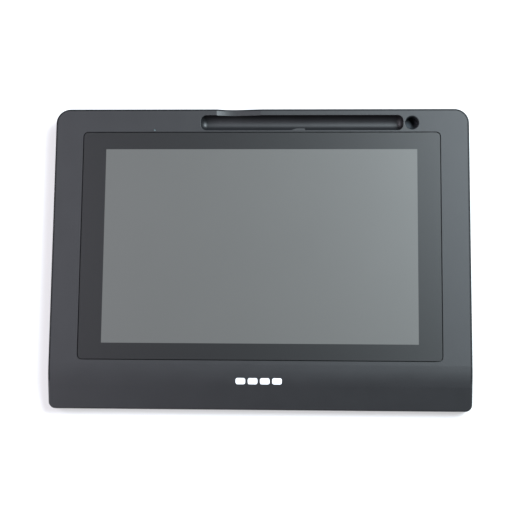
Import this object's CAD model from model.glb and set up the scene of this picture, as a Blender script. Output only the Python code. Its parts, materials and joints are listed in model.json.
import json
import math

import bpy
from mathutils import Matrix, Vector


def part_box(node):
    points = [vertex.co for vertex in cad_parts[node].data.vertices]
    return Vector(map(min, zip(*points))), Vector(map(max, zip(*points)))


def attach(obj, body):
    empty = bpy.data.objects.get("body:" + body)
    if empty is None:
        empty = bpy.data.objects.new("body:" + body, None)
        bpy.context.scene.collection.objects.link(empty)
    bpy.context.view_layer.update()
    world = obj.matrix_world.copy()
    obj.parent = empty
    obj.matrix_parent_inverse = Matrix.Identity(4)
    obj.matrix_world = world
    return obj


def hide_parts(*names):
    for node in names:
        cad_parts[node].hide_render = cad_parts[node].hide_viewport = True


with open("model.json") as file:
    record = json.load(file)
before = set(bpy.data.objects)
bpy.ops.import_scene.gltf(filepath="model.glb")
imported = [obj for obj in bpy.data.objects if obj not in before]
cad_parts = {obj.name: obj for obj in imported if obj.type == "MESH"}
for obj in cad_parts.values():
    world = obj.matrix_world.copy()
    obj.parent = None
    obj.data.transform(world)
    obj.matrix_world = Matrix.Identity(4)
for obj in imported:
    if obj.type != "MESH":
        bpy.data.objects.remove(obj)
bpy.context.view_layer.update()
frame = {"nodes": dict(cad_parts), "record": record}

nodes = frame["nodes"]
print("frame loaded:", len(nodes), "nodes")


class Wire:   # one output socket of a finish; sums on wires make Math nodes
    def __init__(self, finish, socket):
        self.finish = finish
        self.socket = socket

    def calc(self, operation, *values):
        return self.finish.node("Math", {"operation": operation}, dict(enumerate(values)))

    def __add__(self, other):
        return self.calc("ADD", self, other)

    def __radd__(self, other):
        return self.calc("ADD", other, self)

    def __sub__(self, other):
        return self.calc("SUBTRACT", self, other)

    def __rsub__(self, other):
        return self.calc("SUBTRACT", other, self)

    def __mul__(self, other):
        return self.calc("MULTIPLY", self, other)

    def __rmul__(self, other):
        return self.calc("MULTIPLY", other, self)

    def __lt__(self, other):
        return self.calc("LESS_THAN", self, other)

    def __gt__(self, other):
        return self.calc("GREATER_THAN", self, other)

    def __abs__(self):
        return self.calc("ABSOLUTE", self)

    def highest(self, other):
        return self.calc("MAXIMUM", self, other)

    def wave(self, pitch):   # -1 to 1, once per pitch
        return self.calc("SINE", self * (2 * math.pi / pitch))

    def step(self, start, end):   # 0 before start, 1 after end, smooth between
        return self.finish.node(
            "MapRange", {"interpolation_type": "SMOOTHSTEP"},
            {"Value": self, "From Min": start, "From Max": end},
        )


class Finish:   # one material, its nodes made by the methods below
    def __init__(self, name):
        self.material = bpy.data.materials.new(name)
        self.material.use_nodes = True
        self.tree = self.material.node_tree
        self.tree.nodes.clear()
        self.place = self.node("TexCoord", out="Object")

    def node(self, kind, settings=None, values=None, out=0):
        made = self.tree.nodes.new("ShaderNode" + kind)
        for key, value in (settings or {}).items():
            setattr(made, key, value)
        for key, value in (values or {}).items():
            if isinstance(value, Wire):
                self.tree.links.new(value.socket, made.inputs[key])
            elif isinstance(value, tuple) and made.inputs[key].type == "RGBA":
                made.inputs[key].default_value = (*value, 1.0)
            else:
                made.inputs[key].default_value = value
        return Wire(self, made.outputs[out])

    def axes(self):   # x, y and z of the place, in metres
        split = self.node("SeparateXYZ", values={"Vector": self.place})
        sockets = split.socket.node.outputs
        return [Wire(self, sockets[i]) for i in range(3)]

    def noise(self, size, detail=3.0, rough=0.55):   # size is the grain's width in metres
        return self.node("TexNoise", values={
            "Vector": self.place, "Scale": 1 / size, "Detail": detail, "Roughness": rough})

    def cells(self, size, feature="F1"):
        return self.node("TexVoronoi", {"feature": feature},
                         {"Vector": self.place, "Scale": 1 / size}, out="Distance")

    def brushed(self, along, size):   # grain drawn out along one axis
        scale = [1 / size] * 3
        scale[along] = 1 / (size * 40)
        drawn = self.node("Mapping", values={"Vector": self.place, "Scale": scale})
        return self.node("TexNoise", values={"Vector": drawn, "Scale": 1.0, "Detail": 3.0})

    def blend(self, factor, first, second):   # colours; a factor of 0 gives the first
        return self.node("Mix", {"data_type": "RGBA"}, {0: factor, 6: first, 7: second}, out=2)

    def bump(self, height, depth):   # depth in metres
        return self.node("Bump", values={"Height": height, "Distance": depth, "Strength": 1.0})

    def done(self, matt=None, **values):   # matt is where the surface hardly shines
        surface = self.node("BsdfPrincipled", values={
            key.replace("_", " "): value for key, value in values.items()})
        if matt is not None:
            flat = self.node("BsdfPrincipled", values={
                "Base Color": values["Base_Color"], "Roughness": 0.8, "Specular IOR Level": 0.05})
            surface = self.node("MixShader", values={0: matt, 1: surface, 2: flat})
        output = self.tree.nodes.new("ShaderNodeOutputMaterial")
        self.tree.links.new(surface.socket, output.inputs["Surface"])
        return self.material


def grey(value, tint=(1.0, 1.0, 1.0)):
    return tuple(value * part for part in tint)


def shade(colour, amount):
    return tuple(part * amount for part in colour)


camera = {   # over the case, a little to its front and right
    "place": (0.036433, -0.117708, 0.833805),
    "right": (0.999031, 0.009849, -0.042901),
    "up": (-0.003761, 0.990182, 0.139735),
    "back": (0.043856, -0.139438, 0.989259),
    "lens": 83.306,
    "sensor": 36.0,
}


def addCamera():
    data = bpy.data.cameras.new("camera")
    data.lens = camera["lens"]
    data.sensor_width = camera["sensor"]
    data.clip_start = 0.05
    eye = bpy.data.objects.new("camera", data)
    bpy.context.scene.collection.objects.link(eye)
    turn = Matrix((camera["right"], camera["up"], camera["back"])).transposed()
    eye.matrix_world = Matrix.Translation(camera["place"]) @ turn.to_4x4()
    bpy.context.scene.camera = eye


lampSize = 0.7
lamps = {   # place, watts, tint
    "key": ((0.835, 0.417, 1.044), 41.3, (0.794, 0.93, 1.0)),
    "rear": ((0.587, 0.629, 1.104), 9.7, (0.895, 0.96, 1.0)),
    "front": ((-0.853, -0.711, 0.853), 7.6, (0.93, 0.89, 1.0)),
    "left": ((-0.979, 0.210, 0.979), 14.4, (0.94, 0.88, 1.0)),
}
table = {"size": 8.0, "colour": grey(0.39), "spots": grey(0.41), "glow": 1.15}
sky = {"seen": 0.92, "light": 0.03}


def addLamp(name, place, watts, tint):
    data = bpy.data.lights.new(name, "AREA")
    data.shape = "SQUARE"
    data.size = lampSize
    data.energy = watts
    data.color = tint
    lamp = bpy.data.objects.new(name, data)
    bpy.context.scene.collection.objects.link(lamp)
    lamp.location = place
    lamp.rotation_mode = "QUATERNION"
    lamp.rotation_quaternion = (-Vector(place)).to_track_quat("-Z", "Y")


def addStudio():
    world = bpy.data.worlds.new("studio")
    world.use_nodes = True
    tree = world.node_tree
    background = tree.nodes["Background"]
    seen = tree.nodes.new("ShaderNodeLightPath")
    level = tree.nodes.new("ShaderNodeMapRange")
    level.inputs["To Min"].default_value = sky["light"]
    level.inputs["To Max"].default_value = sky["seen"]
    tree.links.new(seen.outputs["Is Camera Ray"], level.inputs["Value"])
    tree.links.new(level.outputs["Result"], background.inputs["Strength"])
    background.inputs["Color"].default_value = (1.0, 1.0, 1.0, 1.0)
    bpy.context.scene.world = world
    for name, facts in lamps.items():
        addLamp(name, *facts)
    bpy.ops.mesh.primitive_plane_add(size=table["size"], location=(0, 0, 0))
    floor = bpy.context.active_object
    floor.name = "floor"
    paper = Finish("paper")
    tone = paper.blend(paper.noise(0.4, 2.0), table["colour"], table["spots"])
    floor.data.materials.append(paper.done(
        Base_Color=tone, Roughness=0.8, Specular_IOR_Level=0.2,
        Emission_Color=tone, Emission_Strength=table["glow"]))
    bpy.context.scene.view_settings.view_transform = "Standard"


addCamera()
addStudio()
print("camera and studio ready")

finishes = {}   # material slot to material

etched = {   # where the case hardly shines: the top's outer edge, the pen groove's front wall
    "arcX": 0.1345, "arcY": 0.0946, "arcRadius": 0.0086, "edgeBase": 0.0136, "edgeAmount": 0.8,
    "wallY": 0.0885, "fadeStart": 0.0918, "fadeEnd": 0.0942, "wallX": 0.0283, "wallHalf": 0.0712,
    "wallTop": 0.01475, "wallAmount": 0.8,
}

mouldings = {   # colour, grain, depth of the grain, roughness
    "case_plastic": (grey(0.0100, (0.96, 0.98, 1.08)), 0.0006, 0.00003, 0.5),
    "cover_plastic": (grey(0.0110), 0.0008, 0.00004, 0.55),
    "leg_plastic": (grey(0.0125, (0.98, 0.99, 1.04)), 0.0005, 0.00003, 0.5),
    "button_plastic": (grey(0.0150, (0.97, 0.99, 1.05)), 0.0003, 0.00001, 0.42),
    "tray_plastic": (grey(0.72, (1.0, 0.995, 0.97)), 0.0004, 0.00001, 0.5),
    "connector_cream": ((0.62, 0.56, 0.42), 0.0003, 0.00001, 0.45),
    "plunger_white": (grey(0.66, (1.0, 1.0, 0.96)), 0.0003, 0.00001, 0.45),
    "switch_black": (grey(0.014), 0.0003, 0.00001, 0.4),
    "socket_black": (grey(0.012), 0.0003, 0.00001, 0.45),
    "chip_black": (grey(0.016, (1.0, 1.0, 1.05)), 0.00025, 0.00001, 0.4),
}


def etchedParts(made):
    x, y, z = made.axes()
    outX = (abs(x) - etched["arcX"]).highest(0.0)
    outY = (y - etched["arcY"]).highest(0.0)
    edge = (outX * outX + outY * outY) > etched["arcRadius"] ** 2
    wall = (1.0 - y.step(etched["fadeStart"], etched["fadeEnd"])) * (y > etched["wallY"])
    wall = wall * (z < etched["wallTop"]) * (abs(x - etched["wallX"]) < etched["wallHalf"])
    return edge * (z > etched["edgeBase"]) * etched["edgeAmount"] + wall * etched["wallAmount"]


def moulding(name, colour, grain, depth, rough):
    made = Finish(name)
    pits = made.cells(grain, "SMOOTH_F1")
    fine = made.noise(grain * 0.6, 2.0)
    mottle = made.noise(0.012, 2.0)
    tone = made.blend(mottle, shade(colour, 0.86), shade(colour, 1.12))
    return made.done(
        etchedParts(made) if name == "case_plastic" else None,
        Base_Color=made.blend(fine * 0.35, tone, shade(colour, 0.8)),
        Roughness=mottle * 0.06 + fine * 0.06 + (rough - 0.06),
        Normal=made.bump(pits * 0.7 + fine * 0.5, depth))


for name, facts in mouldings.items():
    finishes[name] = moulding(name, *facts)

rubbers = {   # colour, grain, roughness
    "foot_rubber": (grey(0.014), 0.0004, 0.72),
    "tip_rubber": (grey(0.012), 0.0004, 0.7),
    "gasket_foam": (grey(0.02), 0.0002, 0.9),
    "black_tape": (grey(0.01), 0.0003, 0.8),
    "sleeve_rubber": (grey(0.014, (0.9, 1.0, 1.12)), 0.0005, 0.95),
}
lint = {"base": 0.0067, "top": 0.0085, "colour": grey(0.1, (0.9, 1.0, 1.12))}   # in the pen hole


def rubber(name, colour, grain, rough):
    made = Finish(name)
    speck = made.noise(grain, 4.0, 0.7)
    dust = made.noise(0.006, 3.0).step(0.5, 0.75)
    worn = made.blend(dust * 0.25, colour, shade(colour, 2.6))
    if name == "sleeve_rubber":
        height = made.axes()[2]
        worn = made.blend(height.step(lint["base"], lint["top"]), lint["colour"], worn)
    return made.done(
        Base_Color=made.blend(speck * 0.4, worn, shade(colour, 0.6)),
        Roughness=speck * 0.12 + (rough - 0.06), Normal=made.bump(speck, 0.00003),
        Specular_IOR_Level=0.15 if rough > 0.9 else 0.5)


for name, facts in rubbers.items():
    finishes[name] = rubber(name, *facts)

metals = {   # colour, axis of the grain, grain, roughness
    "sheet_steel": ((0.56, 0.57, 0.58), 0, 0.0002, 0.38),
    "socket_steel": ((0.66, 0.66, 0.67), 1, 0.0001, 0.28),
    "screw_steel": ((0.6, 0.61, 0.62), 2, 0.0001, 0.3),
    "screw_black": ((0.022, 0.022, 0.024), 2, 0.0001, 0.38),
    "pin_steel": ((0.62, 0.62, 0.63), 0, 0.00008, 0.22),
    "can_aluminium": ((0.74, 0.745, 0.76), 2, 0.0001, 0.25),
}


def metal(name, colour, along, grain, rough):
    made = Finish(name)
    lines = made.brushed(along, grain)
    cloud = made.noise(0.008, 3.0)
    tone = made.blend(cloud, shade(colour, 0.85), shade(colour, 1.08))
    return made.done(
        Base_Color=made.blend(lines * 0.3, tone, shade(colour, 0.7)), Metallic=1.0,
        Roughness=lines * 0.14 + cloud * 0.08 + (rough - 0.1),
        Normal=made.bump(lines, 0.000008))


for name, facts in metals.items():
    finishes[name] = metal(name, *facts)

films = {   # colour, roughness
    "optical_film": ((0.72, 0.74, 0.77), 0.35),
    "clear_acrylic": ((0.74, 0.78, 0.8), 0.12),
    "reflector_white": ((0.86, 0.86, 0.85), 0.55),
    "film_black": ((0.008, 0.008, 0.009), 0.35),
    "cell_glass": ((0.03, 0.033, 0.036), 0.2),
    "pipe_clear": ((0.06, 0.085, 0.09), 0.35),
}


def film(name, colour, rough):
    made = Finish(name)
    cloud = made.noise(0.01, 2.0)
    grain = made.noise(0.0003, 2.0)
    return made.done(
        Base_Color=made.blend(cloud, shade(colour, 0.93), shade(colour, 1.05)),
        Roughness=grain * 0.08 + (rough - 0.04), Normal=made.bump(grain, 0.000003))


for name, facts in films.items():
    finishes[name] = film(name, *facts)

boards = {   # mask, tracks, pitch of the tracks
    "board_green": ((0.010, 0.085, 0.032), (0.03, 0.19, 0.075), 0.0011),
    "sensor_board": ((0.012, 0.07, 0.028), (0.05, 0.2, 0.08), 0.004),
}


def board(name, mask, copper, pitch):
    made = Finish(name)
    x, y = made.axes()[:2]
    region = made.noise(0.014, 0.0) > 0.5
    tracks = region * (x.wave(pitch) > 0.55) + (1 - region) * (y.wave(pitch) > 0.55)
    holes = made.cells(pitch * 2.4) < 0.09
    tone = made.blend(tracks * 0.75, mask, copper)
    return made.done(
        Base_Color=made.blend(holes, tone, (0.62, 0.6, 0.52)), Roughness=0.3 + holes * 0.1,
        Normal=made.bump(tracks, 0.00002))


for name, facts in boards.items():
    finishes[name] = board(name, *facts)

cables = {   # film, conductor, pitch of the conductors
    "flat_cable": ((0.62, 0.64, 0.66), (0.4, 0.41, 0.43), 0.001),
    "flex_amber": ((0.36, 0.14, 0.025), (0.5, 0.24, 0.06), 0.0006),
}


def flatCable(name, coat, wire, pitch):
    made = Finish(name)
    x = made.axes()[0]
    lines = x.wave(pitch).step(-0.3, 0.3)
    scuff = made.noise(0.004, 3.0)
    return made.done(
        Base_Color=made.blend(lines, shade(coat, 0.96), wire),
        Roughness=scuff * 0.15 + 0.3, Normal=made.bump(lines, 0.00003))


for name, facts in cables.items():
    finishes[name] = flatCable(name, *facts)

lens = {
    "border": grey(0.0040, (0.96, 0.99, 1.04)),
    "screen": (0.0731, 0.0724, 0.0676),
    "halfWidth": 0.10836,
    "halfHeight": 0.0677,
    "middleY": 0.00793,
}


def lensGlass():
    made = Finish("lens_glass")
    x, y = made.axes()[:2]
    across = abs(x) - lens["halfWidth"]
    along = abs(y - lens["middleY"]) - lens["halfHeight"]
    outside = across.highest(along).step(-0.0001, 0.0002)
    sparkle = made.noise(0.00035, 2.0)
    cloud = made.noise(0.05, 2.0)
    lit = made.blend(cloud, shade(lens["screen"], 0.97), shade(lens["screen"], 1.03))
    dark = made.blend(cloud, shade(lens["border"], 0.92), shade(lens["border"], 1.08))
    return made.done(
        Base_Color=made.blend(outside, lit, dark), Roughness=sparkle * 0.08 + 0.38,
        Normal=made.bump(sparkle, 0.000004))


finishes["lens_glass"] = lensGlass()

label = {
    "card": (0.42, 0.43, 0.45),
    "ink": (0.03, 0.03, 0.034),
    "frame": (0.0287, 0.0147, 0.00022),   # half width, half height, half the line
    "rows": [   # y, half length
        (0.0105, 0.010), (0.0065, 0.022), (0.0025, 0.018), (-0.0095, 0.007),
    ],
    "rowLine": 0.0007,
}


def labelCard():
    made = Finish("label_silver")
    x, y = made.axes()[:2]
    halfWidth, halfHeight, line = label["frame"]
    edge = abs((abs(x) - halfWidth).highest(abs(y) - halfHeight))
    ink = edge < line
    for rowY, halfLength in label["rows"]:
        ink = ink.highest((abs(y - rowY) < label["rowLine"]) * (abs(x) < halfLength))
    weave = made.brushed(0, 0.0002)
    card = made.blend(weave, shade(label["card"], 0.9), shade(label["card"], 1.08))
    return made.done(
        Base_Color=made.blend(ink, card, label["ink"]), Roughness=weave * 0.15 + 0.35,
        Normal=made.bump(weave, 0.000005))


finishes["label_silver"] = labelCard()

badge = {"colour": (0.8, 0.81, 0.83), "grain": 0.0009, "rough": 0.45}


def badgeInk():
    made = Finish("badge_white")
    spots = made.noise(badge["grain"], 3.0)
    return made.done(
        Base_Color=made.blend(spots, shade(badge["colour"], 0.94), shade(badge["colour"], 1.04)),
        Roughness=spots * 0.1 + badge["rough"], Normal=made.bump(spots, 0.000006))


finishes["badge_white"] = badgeInk()

phosphor = {"window": (0.8, 0.68, 0.22), "case": (0.8, 0.8, 0.76), "pitch": 0.0074}


def ledStrip():
    made = Finish("led_white")
    x = made.axes()[0]
    window = x.wave(phosphor["pitch"]).step(-0.1, 0.1)
    grain = made.noise(0.0003, 2.0)
    return made.done(
        Base_Color=made.blend(window, phosphor["case"], phosphor["window"]),
        Roughness=grain * 0.1 + 0.35, Normal=made.bump(grain, 0.00001))


finishes["led_white"] = ledStrip()

for part in frame["record"]["subparts"]:
    slots = nodes[part["node"]].data.materials
    slots.clear()
    slots.append(finishes[part["material_slot"]])
print("finishes ready:", len(finishes))


def leaveEdit():
    if bpy.context.object and bpy.context.object.mode == "EDIT":
        bpy.ops.object.mode_set(mode="OBJECT")


def takeOnly(piece):
    leaveEdit()
    bpy.ops.object.select_all(action="DESELECT")
    piece.select_set(True)
    bpy.context.view_layer.objects.active = piece


def settle(piece, name):   # its place goes into its mesh
    piece.name = name
    bpy.ops.object.transform_apply(location=True, rotation=True, scale=True)
    return piece


def addBlock(name, low, high):
    leaveEdit()
    bpy.ops.object.select_all(action="DESELECT")
    bpy.ops.mesh.primitive_cube_add(size=1.0, location=[(a + b) / 2 for a, b in zip(low, high)])
    bpy.context.active_object.scale = [b - a for a, b in zip(low, high)]
    return settle(bpy.context.active_object, name)


def addRod(name, place, radius, height, sides):   # upright, standing on its place
    leaveEdit()
    bpy.ops.object.select_all(action="DESELECT")
    x, y, z = place
    bpy.ops.mesh.primitive_cylinder_add(
        vertices=sides, radius=radius, depth=height, location=(x, y, z + height / 2))
    return settle(bpy.context.active_object, name)


def pick(piece, kind, test):   # goes to edit mode with the faces or edges that pass the test
    takeOnly(piece)
    mesh = piece.data
    for group in (mesh.vertices, mesh.edges, mesh.polygons):
        for part in group:
            part.select = False
    if kind == "FACE":
        for face in mesh.polygons:
            face.select = test(face.center, face.normal)
    else:
        for edge in mesh.edges:
            ends = [mesh.vertices[i].co for i in edge.vertices]
            edge.select = test(*ends)
    bpy.context.tool_settings.mesh_select_mode = (False, kind == "EDGE", kind == "FACE")
    bpy.ops.object.mode_set(mode="EDIT")


def pull(x=0.0, y=0.0, z=0.0):   # draws the picked faces out
    bpy.ops.mesh.extrude_region_move(TRANSFORM_OT_translate={"value": (x, y, z)})


near = 1e-6   # metres; places closer than this count as one
facing = 0.95   # how squarely a face must look along an axis


def isUpright(first, second):
    return (first - second).to_2d().length < near


def looking(axis, sign):   # a test for faces that look along an axis
    return lambda middle, normal: normal[axis] * sign > facing


def cutAcross(piece, axis, spots, test):   # cuts the picked faces across at each spot
    for spot in spots:
        pick(piece, "FACE", test)
        at, across = [0.0] * 3, [0.0] * 3
        at[axis], across[axis] = spot, 1.0
        bpy.ops.mesh.bisect(plane_co=at, plane_no=across)


def soften(piece, width, segments=2, angle=30.0):
    takeOnly(piece)
    edge = piece.modifiers.new("soften", "BEVEL")
    edge.width = width
    edge.segments = segments
    edge.limit_method = "ANGLE"
    edge.angle_limit = math.radians(angle)
    bpy.ops.object.modifier_apply(modifier=edge.name)


def inRow(piece, count, x=0.0, y=0.0):
    takeOnly(piece)
    row = piece.modifiers.new("row", "ARRAY")
    row.count = count
    row.use_relative_offset = False
    row.use_constant_offset = True
    row.constant_offset_displace = (x, y, 0.0)
    bpy.ops.object.modifier_apply(modifier=row.name)


def copyOf(piece, name, turn, x, y):   # turned about the origin, then moved
    twin = piece.copy()
    twin.data = piece.data.copy()
    bpy.context.scene.collection.objects.link(twin)
    turned = Matrix.Rotation(math.radians(turn), 4, "Z")
    twin.data.transform(Matrix.Translation((x, y, 0.0)) @ turned)
    twin.name = name
    return twin


def merge(pieces, name):
    takeOnly(pieces[0])
    for piece in pieces:
        piece.select_set(True)
    bpy.ops.object.join()
    bpy.context.active_object.name = name
    return bpy.context.active_object


def finishPiece(piece, slot, body, smooth=30.0):
    takeOnly(piece)
    bpy.ops.object.mode_set(mode="EDIT")
    bpy.ops.mesh.select_all(action="SELECT")
    bpy.ops.mesh.normals_make_consistent(inside=False)
    bpy.ops.object.mode_set(mode="OBJECT")
    bpy.ops.object.shade_smooth_by_angle(angle=math.radians(smooth))
    piece.data.materials.clear()
    piece.data.materials.append(finishes[slot])
    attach(piece, body)
    return piece


footPad = {
    "flatEnd": 0.00005, "round": 0.0004, "margin": 0.0011, "ribbedHalf": 0.001,
    "rib": 0.0012, "groove": 0.0011, "depth": 0.0004, "edge": 0.00012,
}
sharpOnly = 60.0   # degrees; only corners sharper than this are softened


def ribbedFoot(place):   # a rubber strip with cross ribs on the face it stands on
    node = "foot_pad_" + place
    low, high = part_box(node)
    pad = addBlock("ribbed_foot_" + place, low, high)
    pick(pad, "EDGE", isUpright)
    reach = (high.y - low.y) / 2
    bpy.ops.mesh.bevel(offset=reach - footPad["flatEnd"], segments=7, affect="EDGES")
    pick(pad, "FACE", looking(2, -1))
    bpy.ops.mesh.bevel(offset=footPad["round"], segments=2, affect="EDGES")
    pick(pad, "FACE", looking(2, -1))
    bpy.ops.mesh.inset(thickness=footPad["margin"], depth=0.0)
    leaveEdit()

    def inner(middle, normal):
        offLine = abs(middle.y - (low.y + high.y) / 2)
        return normal.z < -facing and offLine < footPad["ribbedHalf"]

    first, last = low.x + reach, high.x - reach
    pitch = footPad["rib"] + footPad["groove"]
    count = int((last - first) / pitch)
    start = (first + last - count * pitch + footPad["rib"]) / 2
    cuts = [start + i * pitch + side for i in range(count) for side in (0.0, footPad["groove"])]
    cutAcross(pad, 0, cuts, inner)
    pick(pad, "FACE", lambda middle, normal: inner(middle, normal) and any(
        0 < middle.x - start - i * pitch < footPad["groove"] for i in range(count)))
    pull(z=footPad["depth"])
    soften(pad, footPad["edge"], 1, sharpOnly)
    finishPiece(pad, "foot_rubber", "case")
    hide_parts(node)


for place in ("front_left", "front_right", "rear_left", "rear_right"):
    ribbedFoot(place)

legTip = {"corner": 0.0007, "ribs": 9, "depth": 0.0004, "edge": 0.00015,
          "endWall": 0.003, "sheetWall": 0.001, "hollow": 0.003}


def groovedTip(side):   # a rubber cap with upright grooves across its end
    node = "leg_tip_" + side
    low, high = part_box(node)
    tip = addBlock("grooved_tip_" + side, low, high)
    pick(tip, "EDGE", lambda first, second: max(first.y, second.y) < low.y + near)
    bpy.ops.mesh.bevel(offset=legTip["corner"], segments=3, affect="EDGES")
    front = looking(1, -1)
    pitch = (high.x - low.x - 2 * legTip["endWall"]) / (2 * legTip["ribs"] - 1)
    start = low.x + legTip["endWall"]
    cuts = [start + i * pitch for i in range(2 * legTip["ribs"])]
    cutAcross(tip, 0, cuts, front)
    pick(tip, "FACE", lambda middle, normal: front(middle, normal) and any(
        0 < middle.x - cuts[i] < pitch for i in range(0, len(cuts), 2)))
    pull(y=legTip["depth"])
    pick(tip, "FACE", looking(1, 1))
    bpy.ops.mesh.inset(thickness=legTip["sheetWall"], depth=0.0)
    width = high.x - low.x
    narrower = (width - 2 * legTip["endWall"]) / (width - 2 * legTip["sheetWall"])
    bpy.ops.transform.resize(
        value=(narrower, 1.0, 1.0), center_override=[(a + b) / 2 for a, b in zip(low, high)])
    pull(y=-legTip["hollow"])
    soften(tip, legTip["edge"], 1, sharpOnly)
    finishPiece(tip, "tip_rubber", side + "_leg")
    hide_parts(node)


for side in ("left", "right"):
    groovedTip(side)
print("rubber feet and tips ready")

contacts = {   # x of the middle, count, pitch, width, y ends, z of the tongue's face
    "usb_contacts": (-0.070, 5, 0.0008, 0.0004, (0.0978, 0.1026), 0.0081),
    "video_contacts": (-0.086, 10, 0.0007, 0.0003, (0.0982, 0.1028), 0.0081),
}
contactRise = 0.00008
contactNose = 0.000096   # the round on each contact's leading edge


def contactStrips(name, middle, count, pitch, width, ends, face):
    first = middle - pitch * (count - 1) / 2
    strip = addBlock(name, (first - width / 2, ends[0], face - contactRise),
                     (first + width / 2, ends[1], face + contactRise))
    pick(strip, "EDGE", lambda a, b: min(a.y, b.y) > ends[1] - near and min(a.z, b.z) > face)
    bpy.ops.mesh.bevel(offset=contactNose, segments=2, affect="EDGES")
    inRow(strip, count, x=pitch)
    finishPiece(strip, "pin_steel", "case")


for name, facts in contacts.items():
    contactStrips(name, *facts)

dome = {"radius": 0.00062, "base": 0.01494, "rise": 0.00008, "sides": 24,
        "steps": [(0.00004, 0.8), (0.00002, 0.55)]}   # rise and narrowing of each step


def lightDome():   # the rounded end of the light pipe
    low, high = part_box("light_pipe")
    x, y = (low.x + high.x) / 2, (low.y + high.y) / 2
    cap = addRod("light_dome", (x, y, dome["base"]), dome["radius"], dome["rise"], dome["sides"])
    for rise, narrower in dome["steps"]:
        pick(cap, "FACE", looking(2, 1))
        pull(z=rise)
        bpy.ops.transform.resize(
            value=(narrower, narrower, 1.0), center_override=(x, y, dome["base"]))
    finishPiece(cap, "pipe_clear", "case", 60.0)


lightDome()

boardTop = 0.0056
lead = {   # shares of the reach: shoulder, drop and foot; exit is a share of the chip's height
    "width": 0.0003, "thick": 0.00012, "reach": 0.0009, "pitch": 0.001, "root": 0.0001,
    "corner": 0.0015, "exit": 0.55, "shoulder": 0.3, "drop": 0.25, "foot": 0.45,
}
packages = [   # x, y, side, height of each large chip, in metres
    (-0.058, 0.060, 0.014, 0.0012),
    (-0.031, 0.064, 0.018, 0.0014),
    (-0.078, 0.054, 0.009, 0.0010),
]


def leadRow(side, height):   # one bent lead, then a row of them along a chip's right side
    middle = boardTop + height * lead["exit"]
    count = int((side - lead["corner"]) / lead["pitch"]) + 1
    start = -lead["pitch"] * (count - 1) / 2
    edge = side / 2
    shoulder = edge + lead["reach"] * lead["shoulder"]
    bent = addBlock("lead",
                    (edge - lead["root"], start - lead["width"] / 2, middle - lead["thick"]),
                    (shoulder, start + lead["width"] / 2, middle))
    pick(bent, "FACE", looking(0, 1))
    pull(x=lead["reach"] * lead["drop"], z=boardTop + lead["thick"] - middle)
    pull(x=lead["reach"] * lead["foot"])
    inRow(bent, count, y=lead["pitch"])
    return bent


rows = []
for x, y, side, height in packages:
    row = leadRow(side, height)
    rows += [copyOf(row, "row", turn, x, y) for turn in (0, 90, 180, 270)]
    bpy.data.objects.remove(row)
finishPiece(merge(rows, "chip_leads"), "pin_steel", "case")

resistor = {"place": (-0.026, 0.080), "length": 0.0016, "width": 0.0008, "height": 0.00045,
            "end": 0.0003, "proud": 0.00003, "edge": 0.00006,
            "grid": (5, 4), "pitch": (0.0034, 0.0026)}


def resistorGrid(name, slot, ends):   # bodies, or the metal ends over them
    x, y = resistor["place"]
    length, width, height = resistor["length"], resistor["width"], resistor["height"]
    proud = resistor["proud"] if ends else 0.0
    reach = resistor["end"] if ends else length
    block = addBlock(name, (x, y - width / 2 - proud, boardTop),
                     (x + reach, y + width / 2 + proud, boardTop + height + proud))
    soften(block, resistor["edge"], 1)
    if ends:
        inRow(block, 2, x=length - reach)
    inRow(block, resistor["grid"][0], x=resistor["pitch"][0])
    inRow(block, resistor["grid"][1], y=resistor["pitch"][1])
    finishPiece(block, slot, "case")


resistorGrid("resistor_bodies", "chip_black", False)
resistorGrid("resistor_ends", "screw_steel", True)
print("small pieces ready")
